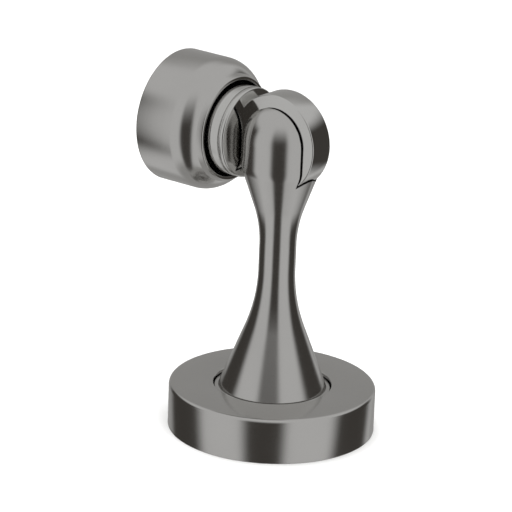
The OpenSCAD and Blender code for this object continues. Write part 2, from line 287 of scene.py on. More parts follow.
def washer_outline(outer, inner, height, edge):
    return [(inner, 0.0, edge), (outer, 0.0, edge), (outer, height, edge), (inner, height, edge)]


def rod_outline(radius, start, end, edge=0.0):
    return [(0.0, start, 0.0), (radius, start, edge), (radius, end, edge), (0.0, end, 0.0)]


def block(size, centre):
    """A box to carve with."""
    shape = bmesh.new()
    bmesh.ops.create_cube(shape, size=1.0, matrix=Matrix.Translation(centre) @ Matrix.Diagonal((*size, 1.0)))
    return shape


def hexagon(radius, start, end):
    """A six-sided bar along Z to carve a key socket with."""
    shape = bmesh.new()
    bmesh.ops.create_cone(
        shape, cap_ends=True, segments=6, radius1=radius, radius2=radius, depth=end - start,
        matrix=Matrix.Translation((0.0, 0.0, (start + end) / 2)),
    )
    return shape


# ---------------------------------------------------------------- pieces

def loose_object(name, shape, place):
    mesh = bpy.data.meshes.new(name)
    shape.to_mesh(mesh)
    shape.free()
    mesh.transform(place)
    piece = bpy.data.objects.new(name, mesh)
    bpy.context.scene.collection.objects.link(piece)
    return piece


def settle_modifiers(piece):
    """Makes a piece's modifiers part of its mesh."""
    bpy.context.view_layer.update()
    evaluated = piece.evaluated_get(bpy.context.evaluated_depsgraph_get())
    mesh = bpy.data.meshes.new_from_object(evaluated)
    piece.modifiers.clear()
    old = piece.data
    piece.data = mesh
    bpy.data.meshes.remove(old)


def combine(piece, tools, operation):
    """Joins shapes to a piece, or carves them out of it. Each tool is a (bmesh, place) pair."""
    for shape, place in tools:
        tool = loose_object("tool", shape, place)
        change = piece.modifiers.new("combine", "BOOLEAN")
        change.operation = operation
        change.solver = "EXACT"
        change.object = tool
        settle_modifiers(piece)
        bpy.data.objects.remove(tool)


def break_edges(piece, width, angle=38.0, segments=2):
    """Rounds a piece's sharp edges by a small width."""
    bevel = piece.modifiers.new("edges", "BEVEL")
    bevel.width = width
    bevel.segments = segments
    bevel.limit_method = "ANGLE"
    bevel.angle_limit = math.radians(angle)
    bevel.use_clamp_overlap = True
    settle_modifiers(piece)


def finish_piece(piece, body, nodes, material, smooth_angle=32.0):
    """Smooths a piece, gives it its finish and hangs it on the frame."""
    piece.data.shade_smooth()
    piece.data.set_sharp_from_angle(angle=math.radians(smooth_angle))
    piece.data.materials.clear()
    piece.data.materials.append(material)
    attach(piece, body)
    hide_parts(*nodes)
    if len(piece.data.polygons) < 4:
        raise RuntimeError(f"{piece.name} came out empty")
    return piece


def make_piece(
    name, shape, place, body, material, nodes=None, joined=(), carved=(), edge=0.0, edge_segments=2,
):
    """One finished piece from a shape, with what is joined to it and carved out of it."""
    piece = loose_object(name, shape, place)
    combine(piece, joined, "UNION")
    combine(piece, carved, "DIFFERENCE")
    if edge > 0.0:
        break_edges(piece, edge, segments=edge_segments)
    return finish_piece(piece, body, nodes or [name.replace("_piece", "")], material)


# ---------------------------------------------------------------- materials

class Finish:
    """A material under construction: its nodes, its shader and its pattern coordinates."""

    def __init__(self, name, colour, roughness, metallic):
        self.material = bpy.data.materials.new(name)
        self.material.use_nodes = True
        self.nodes = self.material.node_tree.nodes
        self.links = self.material.node_tree.links
        self.nodes.clear()
        self.shader = self.add("ShaderNodeBsdfPrincipled")
        output = self.add("ShaderNodeOutputMaterial")
        self.link(self.shader.outputs["BSDF"], output.inputs["Surface"])
        self.shader.inputs["Base Color"].default_value = (*colour, 1.0)
        self.shader.inputs["Roughness"].default_value = roughness
        self.shader.inputs["Metallic"].default_value = metallic
        self.material.diffuse_color = (*colour, 1.0)
        self.colour = colour
        self.roughness = roughness
        self.coords = self.add("ShaderNodeTexCoord").outputs["Object"]

    def add(self, kind, **settings):
        node = self.nodes.new(kind)
        for key, value in settings.items():
            setattr(node, key, value)
        return node

    def link(self, source, target):
        self.links.new(source, target)

    def maths(self, operation, *values):
        """A maths node on sockets or plain numbers."""
        node = self.add("ShaderNodeMath", operation=operation)
        for socket, value in zip(node.inputs, values):
            if isinstance(value, (int, float)):
                socket.default_value = value
            else:
                self.link(value, socket)
        return node.outputs[0]

    def noise(self, vector, scale, detail=3.0, roughness=0.55):
        node = self.add("ShaderNodeTexNoise")
        node.inputs["Scale"].default_value = scale
        node.inputs["Detail"].default_value = detail
        node.inputs["Roughness"].default_value = roughness
        self.link(vector, node.inputs["Vector"])
        return node.outputs["Fac"]

    def spread(self, value, from_low, from_high, to_low, to_high):
        """Maps a value from one range to another."""
        node = self.add("ShaderNodeMapRange")
        ends = {"From Min": from_low, "From Max": from_high, "To Min": to_low, "To Max": to_high}
        for key, number in ends.items():
            node.inputs[key].default_value = number
        self.link(value, node.inputs["Value"])
        return node.outputs["Result"]

    def axis_coords(self, place):
        """(distance from an axis, height along it, 0): what a lathe tool's marks follow."""
        mapping = self.add("ShaderNodeMapping", vector_type="TEXTURE")
        mapping.inputs["Location"].default_value = place.to_translation()
        mapping.inputs["Rotation"].default_value = place.to_euler()
        self.link(self.coords, mapping.inputs["Vector"])
        parts = self.add("ShaderNodeSeparateXYZ")
        self.link(mapping.outputs["Vector"], parts.inputs["Vector"])
        x, y, z = parts.outputs
        squares = self.maths("ADD", self.maths("MULTIPLY", x, x), self.maths("MULTIPLY", y, y))
        distance = self.maths("SQRT", squares)
        joined = self.add("ShaderNodeCombineXYZ")
        self.link(distance, joined.inputs["X"])
        self.link(z, joined.inputs["Y"])
        return joined.outputs["Vector"]

    def bump(self, height, distance, strength=1.0, under=None):
        node = self.add("ShaderNodeBump")
        node.inputs["Strength"].default_value = strength
        node.inputs["Distance"].default_value = distance
        self.link(height, node.inputs["Height"])
        if under is not None:
            self.link(under, node.inputs["Normal"])
        return node.outputs["Normal"]

    def set_roughness(self, value, low, high):
        self.link(self.spread(value, 0.3, 0.7, low, high), self.shader.inputs["Roughness"])

    def set_colour(self, value, dark_share):
        """Varies the colour a little between its own tone and a darker one."""
        mix = self.add("ShaderNodeMix", data_type="RGBA")
        self.link(self.spread(value, 0.3, 0.7, 0.0, 1.0), mix.inputs["Factor"])
        mix.inputs[6].default_value = (*[c * dark_share for c in self.colour], 1.0)
        mix.inputs[7].default_value = (*self.colour, 1.0)
        self.link(mix.outputs[2], self.shader.inputs["Base Color"])

    def set_normal(self, normal):
        self.link(normal, self.shader.inputs["Normal"])


def turned_metal(name, colour, roughness, place, grain=3200.0, depth=0.004 * MM, mottle=0.03):
    """Metal off a lathe: fine rings round its axis, broken up, with cloudy roughness and handling marks."""
    finish = Finish(name, colour, roughness, 1.0)
    rings = finish.noise(finish.axis_coords(place), grain, detail=2.0, roughness=0.6)
    clouds = finish.noise(finish.coords, 160.0, detail=4.0)
    smears = finish.noise(finish.coords, 55.0, detail=2.0)
    specks = finish.noise(finish.coords, 1900.0, detail=1.0)
    uneven = finish.maths("ADD", finish.maths("MULTIPLY", rings, 0.5), finish.maths("MULTIPLY", clouds, 0.5))
    finish.set_roughness(uneven, max(roughness - mottle, 0.02), roughness + mottle)
    stains = finish.maths("ADD", finish.maths("MULTIPLY", smears, 0.7), finish.maths("MULTIPLY", specks, 0.3))
    finish.set_colour(stains, 0.95)
    brushed = finish.bump(rings, depth, strength=0.55)
    finish.set_normal(finish.bump(specks, depth * 0.4, strength=0.3, under=brushed))
    return finish.material


def plated_steel(name, colour, roughness, flow=420.0):
    """Plated or ground sheet: crossed rolling marks, cloudy plating and fine pits."""
    finish = Finish(name, colour, roughness, 1.0)
    stretched = finish.add("ShaderNodeMapping")
    stretched.inputs["Scale"].default_value = (1.0, 9.0, 9.0)
    finish.link(finish.coords, stretched.inputs["Vector"])
    rolled = finish.noise(stretched.outputs["Vector"], flow, detail=3.0)
    clouds = finish.noise(finish.coords, 240.0, detail=5.0)
    pits = finish.noise(finish.coords, 2600.0, detail=2.0)
    finish.set_roughness(clouds, roughness - 0.07, roughness + 0.10)
    finish.set_colour(clouds, 0.84)
    grain = finish.bump(rolled, 0.006 * MM, strength=0.5)
    finish.set_normal(finish.bump(pits, 0.004 * MM, strength=0.4, under=grain))
    return finish.material


def black_oxide(name, colour):
    """Blackened steel: oily dark film, rubbed brighter in patches."""
    finish = Finish(name, colour, 0.42, 0.85)
    rubbed = finish.noise(finish.coords, 900.0, detail=4.0)
    mix = finish.add("ShaderNodeMix", data_type="RGBA")
    finish.link(finish.spread(rubbed, 0.5, 0.75, 0.0, 1.0), mix.inputs["Factor"])
    mix.inputs[6].default_value = (*colour, 1.0)
    mix.inputs[7].default_value = (*[min(3.2 * c, 1.0) for c in colour], 1.0)
    finish.link(mix.outputs[2], finish.shader.inputs["Base Color"])
    finish.set_roughness(rubbed, 0.5, 0.34)
    finish.set_normal(finish.bump(rubbed, 0.01 * MM, strength=0.5))
    return finish.material


def moulded(name, colour, roughness, sheen):
    """Moulded nylon or rubber: faint mould texture and uneven gloss."""
    finish = Finish(name, colour, roughness, 0.0)
    texture = finish.noise(finish.coords, 1500.0, detail=4.0)
    clouds = finish.noise(finish.coords, 300.0, detail=3.0)
    finish.shader.inputs["Sheen Weight"].default_value = sheen
    finish.set_roughness(clouds, roughness - 0.06, roughness + 0.08)
    finish.set_colour(clouds, 0.88)
    finish.set_normal(finish.bump(texture, 0.02 * MM, strength=0.6))
    return finish.material


def make_finishes():
    """Every material of the object, by its plain name."""
    tone = finishes()
    upright, head, fork = UPRIGHT, toward_door(0.0), across_fork()
    return {
        "satin_upright": turned_metal("satin_nickel_upright", tone.satin[:], tone.satin_roughness, upright),
        "satin_head": turned_metal("satin_nickel_cup", tone.satin[:], tone.satin_roughness, head),
        "polished_head": turned_metal(
            "polished_nickel", tone.polish[:], tone.polish_roughness, fork, depth=0.0015 * MM, mottle=0.02,
        ),
        "zinc": plated_steel("zinc_plate", tone.zinc[:], 0.36),
        "zinc_turned": turned_metal(
            "zinc_plate_turned", tone.zinc[:], 0.30, head, grain=2200.0, depth=0.006 * MM, mottle=0.06,
        ),
        "bright_head": turned_metal(
            "ground_steel_face", tone.bright[:], 0.22, head, grain=2400.0, depth=0.006 * MM, mottle=0.05,
        ),
        "bright_fork": turned_metal("ground_steel_pin", tone.bright[:], 0.20, fork, grain=2600.0),
        "magnet": turned_metal("magnet_plating", tone.polish[:], 0.20, head, grain=1500.0, mottle=0.06),
        "black": black_oxide("black_oxide", tone.black[:]),
        "brass": turned_metal("bush_brass", tone.brass[:], 0.25, fork),
        "nylon": moulded("nylon", tone.nylon[:], 0.45, 0.05),
        "rubber": moulded("buffer_rubber", tone.rubber[:], 0.62, 0.15),
    }


FINISH_NAMES = {}


def finish_named(name):
    """A finish by its plain name, made with all the others the first time one is asked for."""
    if not FINISH_NAMES:
        FINISH_NAMES.update(make_finishes())
    return FINISH_NAMES[name]


# ---------------------------------------------------------------- base

class HolderOperator:
    """Shared settings of the operators."""

    bl_options = {"REGISTER", "UNDO"}


class DOORHOLDER_OT_base_ring(HolderOperator, Operator):
    """Turn the base ring, with its soft top edge and its set screw hole"""

    bl_idname = "door_holder.base_ring"
    bl_label = "Base Ring"

    def execute(self, context):
        size = sizes()
        outer, top = high("base_ring").x, high("base_ring").z
        bore = outer - size.rose_wall
        hole = high("stem").x + size.moving_gap
        ceiling = top - size.rose_top
        outline = [
            (hole, ceiling, size.broken_edge),
            (bore, ceiling, size.fine_edge),
            (bore, 0.0, size.broken_edge),
            (outer, 0.0, size.fine_edge),
            (outer, top, size.rose_edge),
            (hole, top, size.fine_edge * 1.5),
        ]
        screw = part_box("ring_grub_screw")
        screw_radius = (screw[1].x - screw[0].x) / 2
        across = Matrix.Translation((0.0, 0.0, (screw[0].z + screw[1].z) / 2)) @ UP_TO_BACK
        hole_tool = (turned(rod_outline(screw_radius, bore - MM, outer + MM), steps=40), across)
        make_piece(
            "base_ring_piece", turned(outline), UPRIGHT, "base",
            finish_named("satin_upright"), carved=[hole_tool],
        )
        return {"FINISHED"}


class DOORHOLDER_OT_floor_plate(HolderOperator, Operator):
    """Make the floor plate with its screw holes and boss, and the nylon washer on it"""

    bl_idname = "door_holder.floor_plate"
    bl_label = "Floor Plate"

    def execute(self, context):
        size = sizes()
        edge = size.broken_edge
        rim = high("floor_plate").x
        boss_top = high("floor_plate").z
        plate_top, boss, bolt_room, shank_room = 4.0 * MM, 8.5 * MM, 6.0 * MM, 3.08 * MM
        pocket_top = boss_top - BOSS_TOP
        outline = [
            (bolt_room, 0.0, edge),
            (rim, 0.0, edge),
            (rim, plate_top, size.fine_edge * 2),
            (boss, plate_top, size.fine_edge),
            (boss, boss_top, size.fine_edge),
            (shank_room, boss_top, edge),
            (shank_room, pocket_top, edge),
            (bolt_room, pocket_top, 0.0),
        ]
        screw_circle, screw_hole, screw_head = 17.5 * MM, 2.25 * MM, 4.0 * MM
        sink = screw_head - screw_hole
        carved = []
        for turn in range(FLOOR_SCREWS):
            place = Matrix.Rotation(math.tau * turn / FLOOR_SCREWS, 4, "Z")
            place = place @ Matrix.Translation((screw_circle, 0.0, 0.0))
            countersunk = [
                (0.0, -MM, 0.0),
                (screw_hole, -MM, 0.0),
                (screw_hole, plate_top - sink, 0.0),
                (screw_head, plate_top, 0.0),
                (screw_head, plate_top + MM, 0.0),
                (0.0, plate_top + MM, 0.0),
            ]
            carved.append((turned(countersunk, steps=48), place))
        make_piece(
            "floor_plate_piece", turned(outline), UPRIGHT, "base", finish_named("zinc"),
            carved=carved,
        )
        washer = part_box("thrust_washer")
        make_piece(
            "thrust_washer_piece",
            turned(washer_outline(washer[1].x, shank_room, washer[1].z - washer[0].z, edge), steps=96),
            Matrix.Translation((0.0, 0.0, washer[0].z)), "base", finish_named("nylon"),
        )
        return {"FINISHED"}


# ---------------------------------------------------------------- stem

class DOORHOLDER_OT_stem(HolderOperator, Operator):
    """Turn the waisted stem and mill the fork's slot, its round seat and the pin hole"""

    bl_idname = "door_holder.stem"
    bl_label = "Stem"

    def execute(self, context):
        size = sizes()
        flange, foot, foot_z = high("stem").x, size.foot / 2, low("stem").z
        waist = size.waist / 2
        fork = size.fork / 2
        foot_edge_z = high("base_ring").z - FOOT_EDGE_SINK
        waist_low, waist_high = 0.556 * PIVOT_Z, 0.646 * PIVOT_Z
        flare, flare_angle = 0.553 * PIVOT_Z, 21.5
        neck_curve, neck_angle = 0.39 * PIVOT_Z, 19.0
        outline = [
            (0.0, foot_z, 0.0),
            (flange, foot_z, size.fine_edge),
            (flange, high("base_ring").z - size.flange_sink, size.fine_edge),
            (foot, high("base_ring").z - size.flange_sink, size.fine_edge),
            (foot, foot_edge_z, size.fine_edge * 1.5),
            *arc((waist + flare, waist_low), flare, 180 + flare_angle, 180),
            *arc((waist + neck_curve, waist_high), neck_curve, 180, 180 - neck_angle),
            *arc((fork - size.shoulder, PIVOT_Z - size.shoulder_drop), size.shoulder, -neck_angle, 0),
            *arc((0.0, PIVOT_Z), fork, 0, 89.5, steps=40),
            (0.0, PIVOT_Z + fork, 0.0),
        ]
        seat = high("magnet_head").x + size.moving_gap
        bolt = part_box("stem_bolt")
        slot_tool = turned(rod_outline(seat, -size.slot_width / 2, size.slot_width / 2))
        open_top = block((4 * fork, size.slot_width, 2 * fork), (0.0, 0.0, PIVOT_Z + fork))
        pin_start = low("cross_pin").y
        pin_tool = turned(rod_outline(size.pin / 2, 0.0, 1.5 * fork - pin_start), steps=64)
        along_pin = Matrix.Translation((0.0, pin_start, PIVOT_Z)) @ UP_TO_BACK
        bolt_tool = turned(rod_outline(BOLT_SHANK, foot_z - MM, bolt[1].z + BOLT_END_ROOM), steps=64)
        make_piece(
            "stem_piece", turned(outline), UPRIGHT,
            "stem_body", finish_named("satin_upright"),
            carved=[
                (slot_tool, across_fork()), (open_top, UPRIGHT), (pin_tool, along_pin), (bolt_tool, UPRIGHT),
            ],
            edge=size.fine_edge, edge_segments=3,
        )
        return {"FINISHED"}


class DOORHOLDER_OT_stem_fasteners(HolderOperator, Operator):
    """Make the stem's bolt, its lock washer and the cross pin"""

    bl_idname = "door_holder.stem_fasteners"
    bl_label = "Stem Fasteners"

    def execute(self, context):
        size = sizes()
        edge = size.broken_edge
        bolt, washer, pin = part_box("stem_bolt"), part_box("lock_washer"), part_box("cross_pin")
        head, head_top, shank = bolt[1].x, washer[0].z, BOLT_SHANK
        bolt_outline = [
            (0.0, bolt[0].z, 0.0),
            (head, bolt[0].z, size.fine_edge),
            (head, head_top, size.fine_edge),
            (shank, head_top, edge),
            (shank, bolt[1].z, 3 * size.fine_edge),
            (0.0, bolt[1].z, 0.0),
        ]
        socket = hexagon(BOLT_SOCKET, bolt[0].z - MM, bolt[0].z + BOLT_SOCKET_DEPTH)
        make_piece(
            "stem_bolt_piece", turned(bolt_outline, steps=96), UPRIGHT, "stem_body",
            finish_named("black"), carved=[(socket, UPRIGHT)],
        )
        split = block(
            (LOCK_WASHER_SPLIT, 2 * BOLT_SHANK, BOLT_SHANK), (0.0, 2 * BOLT_SHANK, SPLIT_LIFT),
        )
        place = Matrix.Translation((0.0, 0.0, washer[0].z))
        make_piece(
            "lock_washer_piece",
            turned(washer_outline(washer[1].x, shank, washer[1].z - washer[0].z, edge), steps=96), place,
            "stem_body", finish_named("zinc"),
            carved=[(split, place @ Matrix.Rotation(math.radians(25), 4, "Y"))],
        )
        pin_place = Matrix.Translation((0.0, pin[0].y, PIVOT_Z)) @ UP_TO_BACK
        make_piece(
            "cross_pin_piece",
            turned(rod_outline(size.pin / 2, 0.0, pin[1].y - pin[0].y, PIN_CHAMFER), steps=80), pin_place,
            "stem_body", finish_named("bright_fork"),
        )
        return {"FINISHED"}


# ---------------------------------------------------------------- head

class DOORHOLDER_OT_magnet_head(HolderOperator, Operator):
    """Make the polished head: round knuckle, neck and drum in one, bored for its bush, magnet and screw"""

    bl_idname = "door_holder.magnet_head"
    bl_label = "Magnet Head"

    def execute(self, context):
        size = sizes()
        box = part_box("magnet_head")
        knuckle, drum = box[1].x, box[1].y
        drum_front = -box[0].x
        drum_back = size.fork / 2 - size.drum_tuck
        half = size.knuckle_width / 2
        disc = turned(rod_outline(knuckle, -half, half, size.knuckle_edge))
        drum_outline = [
            (0.0, drum_back, 0.0),
            (drum, drum_back, size.drum_edge),
            (drum, drum_back + size.bead, size.fine_edge),
            (drum - size.groove_depth, drum_back + size.bead, size.broken_edge),
            (drum - size.groove_depth, drum_back + size.bead + size.groove, size.broken_edge),
            (drum, drum_back + size.bead + size.groove, size.fine_edge),
            (drum, drum_front, size.fine_edge),
            (0.0, drum_front, 0.0),
        ]
        neck_start, neck_end = knuckle / 2, drum_back + NECK_OVERLAP
        neck = block(
            (neck_end - neck_start, size.knuckle_width - 2 * size.knuckle_edge, knuckle),
            (-(neck_start + neck_end) / 2, 0.0, PIVOT_Z),
        )
        pot = radius_on_head("magnet_pot")
        pot_back = drum_front - POT_LENGTH
        washer_room = high("friction_washers").x + WASHER_CLEARANCE
        bush = high("tilt_bush").x
        recess_floor = half - WASHER_RECESS
        bearing_bore = [
            (0.0, -2 * half, 0.0),
            (washer_room, -2 * half, 0.0),
            (washer_room, -recess_floor, 0.0),
            (bush, -recess_floor, 0.0),
            (bush, recess_floor, 0.0),
            (washer_room, recess_floor, 0.0),
            (washer_room, 2 * half, 0.0),
            (0.0, 2 * half, 0.0),
        ]
        screw, screw_end = MAGNET_SCREW, pot_back - MAGNET_SCREW_GRIP
        magnet_bore = [
            (0.0, screw_end, 0.0),
            (screw, screw_end, 0.0),
            (screw, pot_back, 0.0),
            (pot, pot_back, 0.0),
            (pot, drum_front + MM, 0.0),
            (0.0, drum_front + MM, 0.0),
        ]
        carved = [
            (turned(bearing_bore, steps=112), across_fork()),
            (turned(magnet_bore, steps=128), toward_door(0.0)),
        ]
        make_piece(
            "magnet_head_piece", disc, across_fork(),
            "head", finish_named("polished_head"),
            joined=[(turned(drum_outline), toward_door(0.0)), (neck, UPRIGHT)], carved=carved,
        )
        return {"FINISHED"}


class DOORHOLDER_OT_tilt_bearing(HolderOperator, Operator):
    """Make the brass bush in the knuckle and the two friction washers beside it"""

    bl_idname = "door_holder.tilt_bearing"
    bl_label = "Tilt Bearing"

    def execute(self, context):
        size = sizes()
        edge = size.broken_edge
        bore = size.pin / 2 + PIN_CLEARANCE
        bush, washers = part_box("tilt_bush"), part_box("friction_washers")
        bush_length = bush[1].y - bush[0].y
        make_piece(
            "tilt_bush_piece", turned(washer_outline(bush[1].x, bore, bush_length, edge), steps=80),
            Matrix.Translation((0.0, bush[1].y, 0.0)) @ across_fork(),
            "head", finish_named("brass"),
        )
        thickness = washers[1].y - bush[1].y
        pair = turned(washer_outline(washers[1].x, bore, thickness, edge), steps=96)
        gap = washers[1].y - washers[0].y - thickness
        copied = bmesh.ops.duplicate(pair, geom=pair.verts[:] + pair.edges[:] + pair.faces[:])
        moved = [part for part in copied["geom"] if isinstance(part, bmesh.types.BMVert)]
        bmesh.ops.translate(pair, verts=moved, vec=(0.0, 0.0, gap))
        make_piece(
            "friction_washers_piece", pair, Matrix.Translation((0.0, washers[1].y, 0.0)) @ across_fork(),
            "head", finish_named("bright_fork"),
        )
        return {"FINISHED"}


class DOORHOLDER_OT_magnet_stack(HolderOperator, Operator):
    """Make the steel pot, the ring magnet, its plastic spacer and the screw that holds them"""

    bl_idname = "door_holder.magnet_stack"
    bl_label = "Magnet Stack"

    def execute(self, context):
        size = sizes()
        edge = size.broken_edge
        front = -low("magnet_pot").x
        back = -high("magnet_pot").x
        pot, magnet = radius_on_head("magnet_pot"), radius_on_head("magnet")
        spacer = radius_on_head("magnet_spacer")
        magnet_back = -high("magnet").x
        bore, head, shank = MAGNET_BORE, MAGNET_SCREW_HEAD, MAGNET_SCREW
        sink_front = front - SCREW_HEAD_SINK
        sink_back = sink_front - (head - shank)
        place = toward_door(0.0)
        pot_outline = [
            (bore, back, edge),
            (pot, back, size.fine_edge),
            (pot, front, edge),
            (spacer, front, edge),
            (spacer, magnet_back, edge),
            (bore, magnet_back, edge),
        ]
        make_piece(
            "magnet_pot_piece", turned(pot_outline, steps=144), place,
            "head", finish_named("zinc_turned"),
        )
        magnet_outline = [
            (bore, magnet_back, edge),
            (magnet, magnet_back, edge),
            (magnet, front, size.fine_edge * 1.4),
            (head, front, edge),
            (head, sink_front, 0.0),
            (bore, sink_back + bore - shank, 0.0),
        ]
        make_piece(
            "magnet_piece", turned(magnet_outline, steps=144), place,
            "head", finish_named("magnet"),
        )
        make_piece(
            "magnet_spacer_piece",
            turned(washer_outline(spacer, magnet, front - magnet_back, edge), steps=144),
            toward_door(magnet_back), "head", finish_named("nylon"),
        )
        tip = -high("magnet_screw").x
        screw_outline = [
            (0.0, tip, 0.0),
            (shank, tip, 3 * edge),
            (shank, sink_back, 0.0),
            (head, sink_front, edge),
            (0.0, sink_front, 0.0),
        ]
        slots = [
            (block((DRIVE_DEPTH, size_y, size_z), (-front, 0.0, PIVOT_Z)), UPRIGHT)
            for size_y, size_z in ((DRIVE_WIDTH, DRIVE_LENGTH), (DRIVE_LENGTH, DRIVE_WIDTH))
        ]
        make_piece(
            "magnet_screw_piece", turned(screw_outline, steps=80), place, "head",
            finish_named("zinc_turned"), carved=slots,
        )
        return {"FINISHED"}


# ---------------------------------------------------------------- door side

class DOORHOLDER_OT_door_cup(HolderOperator, Operator):
    """Turn the door cup with its domed shoulder, bore, inner wall and set screw hole"""

    bl_idname = "door_holder.door_cup"
    bl_label = "Door Cup"

    def execute(self, context):
        size = sizes()
        outer = radius_on_head("door_cup")
        face, lip = -low("door_cup").x, -high("door_cup").x
        bore = outer - size.cup_wall
        web_front = -low("strike_buffer").x
        web_back = web_front + CUP_WEB
        recess = outer - CUP_RECESS_WALL
        stud_room = CUP_STUD_HOLE
        dome_centre = (outer - size.cup_dome, lip + DOME_FROM_LIP)
        outline = [
            (bore, web_front, size.broken_edge),
            (bore, lip, size.rim_edge),
            (bore + size.rim_width, lip, size.rim_edge),
            *arc(dome_centre, size.cup_dome, -DOME_ANGLE, 0, steps=32),
            (outer, face, size.fine_edge * 2),
            (recess, face, size.broken_edge),
            (recess, web_back, size.broken_edge),
            (stud_room, web_back, size.broken_edge),
            (stud_room, web_front, size.broken_edge),
        ]
        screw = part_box("cup_grub_screw")
        screw_place = Matrix.Translation(((screw[0].x + screw[1].x) / 2, 0.0, PIVOT_Z))
        screw_place = screw_place @ Matrix.Rotation(math.pi, 4, "X")
        screw_radius = (screw[1].x - screw[0].x) / 2
        screw_tool = turned(rod_outline(screw_radius, recess - MM, outer + MM), steps=40)
        make_piece(
            "door_cup_piece", turned(outline), toward_door(0.0),
            "cup", finish_named("satin_head"),
            carved=[(screw_tool, screw_place)],
        )
        return {"FINISHED"}


class DOORHOLDER_OT_door_plate(HolderOperator, Operator):
    """Make the door plate with its two countersunk holes, and the rubber buffer ring"""

    bl_idname = "door_holder.door_plate"
    bl_label = "Door Plate"

    def execute(self, context):
        size = sizes()
        edge = size.broken_edge
        rim, back = radius_on_head("door_plate"), -low("door_plate").x
        front = -high("door_plate").x
        thickness = back - front
        screw_at, screw_hole, screw_head = 9.5 * MM, 2.0 * MM, 3.7 * MM
        sink = screw_head - screw_hole
        place = toward_door(front)
        countersunk = [
            (0.0, -MM, 0.0),
            (screw_head, -MM, 0.0),
            (screw_head, 0.0, 0.0),
            (screw_hole, sink, 0.0),
            (screw_hole, thickness + MM, 0.0),
            (0.0, thickness + MM, 0.0),
        ]
        carved = [
            (turned(countersunk, steps=48), place @ Matrix.Translation((0.0, side * screw_at, 0.0)))
            for side in (-1, 1)
        ]
        make_piece(
            "door_plate_piece",
            turned(washer_outline(rim, DOOR_PLATE_HOLE, thickness, size.fine_edge), steps=144), place,
            "cup", finish_named("zinc"), carved=carved,
        )
        buffer_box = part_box("strike_buffer")
        buffer_length = buffer_box[1].x - buffer_box[0].x
        buffer_radius = radius_on_head("strike_buffer")
        make_piece(
            "strike_buffer_piece",
            turned(washer_outline(buffer_radius, BUFFER_HOLE, buffer_length, 3 * edge), steps=128),
            toward_door(-buffer_box[1].x), "cup", finish_named("rubber"),
        )
        return {"FINISHED"}


class DOORHOLDER_OT_set_screws(HolderOperator, Operator):
    """Make the set screws of the base ring and the cup"""

    bl_idname = "door_holder.set_screws"
    bl_label = "Set Screws"

    def execute(self, context):
        for node, body, axis in (("ring_grub_screw", "base", 1), ("cup_grub_screw", "cup", 2)):
            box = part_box(node)
            middle = (box[0] + box[1]) / 2
            radius = (box[1].x - box[0].x) / 2
            length_along = box[1][axis] - box[0][axis]
            outline = [
                (0.0, 0.0, 0.0),
                (radius / 2, 0.0, 0.0),
                (radius, radius / 2, 0.0),
                (radius, length_along, radius / 6),
                (0.0, length_along, 0.0),
            ]
            socket = hexagon(0.55 * radius, 0.5 * length_along, 2 * length_along)
            if axis == 1:
                place = Matrix.Translation((middle.x, box[0].y, middle.z)) @ UP_TO_BACK
            else:
                place = Matrix.Translation((middle.x, middle.y, box[1].z)) @ Matrix.Rotation(math.pi, 4, "X")
            make_piece(
                node + "_piece", turned(outline, steps=48), place, body, finish_named("black"),
                carved=[(socket, place)],
            )
        return {"FINISHED"}


# ---------------------------------------------------------------- strike

class DOORHOLDER_OT_strike(HolderOperator, Operator):
    """Make the strike plate, the stud riveted in it and the stud's clip"""

    bl_idname = "door_holder.strike"
    bl_label = "Strike"

    def execute(self, context):
        size = sizes()
        edge = size.broken_edge
        front, back = -high("strike_plate").x, -low("strike_plate").x
        rim = radius_on_head("strike_plate")
        stud, stud_head, stud_end = 2.2 * MM, radius_on_head("strike_stud"), -low("strike_stud").x
        sink = stud_head - stud
        clip_front, clip_back = -high("stud_clip").x, -low("stud_clip").x
        groove, clip = 1.7 * MM, radius_on_head("stud_clip")
        place = toward_door(0.0)
        plate_outline = [
            (stud, front + sink, 0.0),
            (stud_head, front, 0.0),
            (rim, front, size.fine_edge * 2),
            (rim, back, size.fine_edge * 2),
            (stud, back, edge),
        ]
        make_piece(
            "strike_plate_piece", turned(plate_outline), place,
            "strike", finish_named("bright_head"),
        )
        stud_outline = [
            (0.0, front, 0.0),
            (stud_head, front, edge),
            (stud, front + sink, 0.0),
            (stud, clip_front, edge),
            (groove, clip_front, 0.0),
            (groove, clip_back, 0.0),
            (stud, clip_back, edge),
            (stud, stud_end, 3 * edge),
            (0.0, stud_end, 0.0),
        ]
        make_piece(
            "strike_stud_piece", turned(stud_outline, steps=80), place,
            "strike", finish_named("bright_head"),
        )
        mouth = block(
            (2 * (clip_back - clip_front), CLIP_MOUTH, clip),
            (-(clip_front + clip_back) / 2, 0.0, PIVOT_Z + clip / 2 + CLIP_MOUTH_LIFT),
        )
        make_piece(
            "stud_clip_piece", turned(washer_outline(clip, groove, clip_back - clip_front, edge), steps=80),
            toward_door(clip_front), "strike", finish_named("black"),
            carved=[(mouth, UPRIGHT)],
        )
        return {"FINISHED"}


